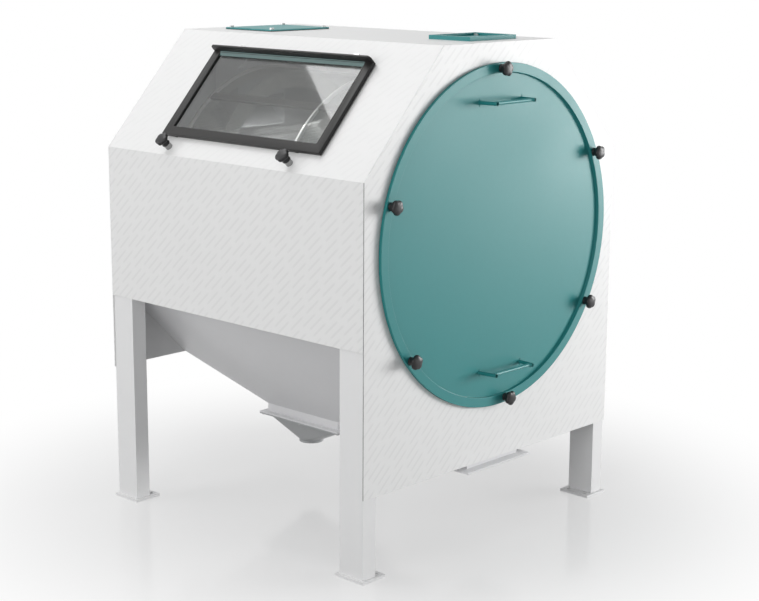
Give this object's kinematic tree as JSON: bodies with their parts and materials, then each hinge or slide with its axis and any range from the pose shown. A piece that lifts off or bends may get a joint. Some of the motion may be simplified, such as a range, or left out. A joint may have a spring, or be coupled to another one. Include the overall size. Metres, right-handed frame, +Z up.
{
  "type": "drum sieve",
  "caption": "Sheet-metal drum sieve on legs with a rotating screen drum, hinged sloping window, round lift-off end door, fines hopper, coarse chute and end gear drive.",
  "frame": {"origin": "on the floor at the centre of the rectangle of anchor holes in the four feet", "axes": "+Z up, +X along the drum axis from the drive end to the round door, -Y is the front with the window"},
  "size_m": [1.485, 1.142, 1.477],
  "materials": {
    "white_powder": "satin powder coat",
    "leg_powder": "satin powder coat",
    "hopper_powder": "smooth satin paint",
    "teal_powder": "satin powder coat",
    "dark_frame": "satin paint",
    "drive_paint": "satin machine paint",
    "motor_metal": "die cast",
    "bare_steel": "brushed",
    "jacket_steel": "perforated sheet",
    "black_plastic": "moulded",
    "gasket_rubber": "matt",
    "clear_glass": "clear"
  },
  "bodies": {
    "housing": {"front_panel": "white_powder", "rear_panel": "white_powder", "top_panel": "white_powder", "left_end_panel": "white_powder", "right_end_panel": "white_powder", "leg_front_left": "leg_powder", "leg_front_right": "leg_powder", "leg_rear_left": "leg_powder", "leg_rear_right": "leg_powder", "foot_plates": "leg_powder", "long_rails": "leg_powder", "bearing_beams": "leg_powder", "dividing_wall": "white_powder", "fines_hopper": "hopper_powder", "outlet_transition": "hopper_powder", "outlet_screws": "bare_steel", "coarse_chute": "hopper_powder", "inlet_chute": "hopper_powder", "inlet_gasket": "gasket_rubber", "inlet_cover": "teal_powder", "aspiration_collar": "teal_powder", "aspiration_cover": "teal_powder", "cover_bolts": "bare_steel", "bearing_plate": "white_powder", "bearing_housing": "drive_paint", "bearing_bolts": "bare_steel", "gearbox": "drive_paint", "motor": "motor_metal", "fan_cowl": "drive_paint", "terminal_box": "drive_paint", "torque_arm": "bare_steel", "door_inserts": "bare_steel", "hinge_brackets": "bare_steel", "latch_collars": "bare_steel"},
    "drum": {"drum_shaft": "bare_steel", "inlet_spider": "white_powder", "middle_spider": "white_powder", "outlet_ring": "white_powder", "drum_bars": "white_powder", "long_jackets": "jacket_steel", "short_jackets": "jacket_steel", "long_spiral": "bare_steel", "short_spiral": "bare_steel"},
    "door": {"door_disc": "teal_powder", "door_gasket": "gasket_rubber", "door_handles": "teal_powder"},
    "window_flap": {"window_frame": "dark_frame", "window_glass": "clear_glass", "window_seal": "gasket_rubber", "hinge_pins": "bare_steel"},
    "door_knob_1": {"door_knob_1": "black_plastic"},
    "door_knob_2": {"door_knob_2": "black_plastic"},
    "door_knob_3": {"door_knob_3": "black_plastic"},
    "door_knob_4": {"door_knob_4": "black_plastic"},
    "door_knob_5": {"door_knob_5": "black_plastic"},
    "door_knob_6": {"door_knob_6": "black_plastic"},
    "window_latch_left": {"window_latch_left": "black_plastic"},
    "window_latch_right": {"window_latch_right": "black_plastic"}
  },
  "joints": [
    {"name": "drum_spin", "type": "hinge", "parent": "housing", "child": "drum", "pos_m": [0, 0, 0.908], "axis": [1, 0, 0], "continuous": true},
    {"name": "door_lift_off", "type": "slide", "parent": "housing", "child": "door", "axis": [1, 0, 0], "range_m": [0, 0.3]},
    {"name": "window_open", "type": "hinge", "parent": "housing", "child": "window_flap", "pos_m": [0.009, -0.29733, 1.41685], "axis": [-1, 0, 0], "range_deg": [0, 80]},
    {"name": "door_knob_1_turn", "type": "hinge", "parent": "door", "child": "door_knob_1", "pos_m": [0.557, 0.43685, 1.11637], "axis": [1, 0, 0], "continuous": true},
    {"name": "door_knob_2_turn", "type": "hinge", "parent": "door", "child": "door_knob_2", "pos_m": [0.557, -0.01267, 1.39183], "axis": [1, 0, 0], "continuous": true},
    {"name": "door_knob_3_turn", "type": "hinge", "parent": "door", "child": "door_knob_3", "pos_m": [0.557, -0.46334, 1.04789], "axis": [1, 0, 0], "continuous": true},
    {"name": "door_knob_4_turn", "type": "hinge", "parent": "door", "child": "door_knob_4", "pos_m": [0.557, -0.37983, 0.60803], "axis": [1, 0, 0], "continuous": true},
    {"name": "door_knob_5_turn", "type": "hinge", "parent": "door", "child": "door_knob_5", "pos_m": [0.557, 0.03376, 0.42518], "axis": [1, 0, 0], "continuous": true},
    {"name": "door_knob_6_turn", "type": "hinge", "parent": "door", "child": "door_knob_6", "pos_m": [0.557, 0.414, 0.65728], "axis": [1, 0, 0], "continuous": true},
    {"name": "window_latch_left_turn", "type": "hinge", "parent": "housing", "child": "window_latch_left", "pos_m": [-0.275, -0.53622, 1.14077], "axis": [0, 0.7417, -0.6707], "range_deg": [0, 90]},
    {"name": "window_latch_right_turn", "type": "hinge", "parent": "housing", "child": "window_latch_right", "pos_m": [0.242, -0.53622, 1.14077], "axis": [0, 0.7417, -0.6707], "range_deg": [0, 90]}
  ]
}
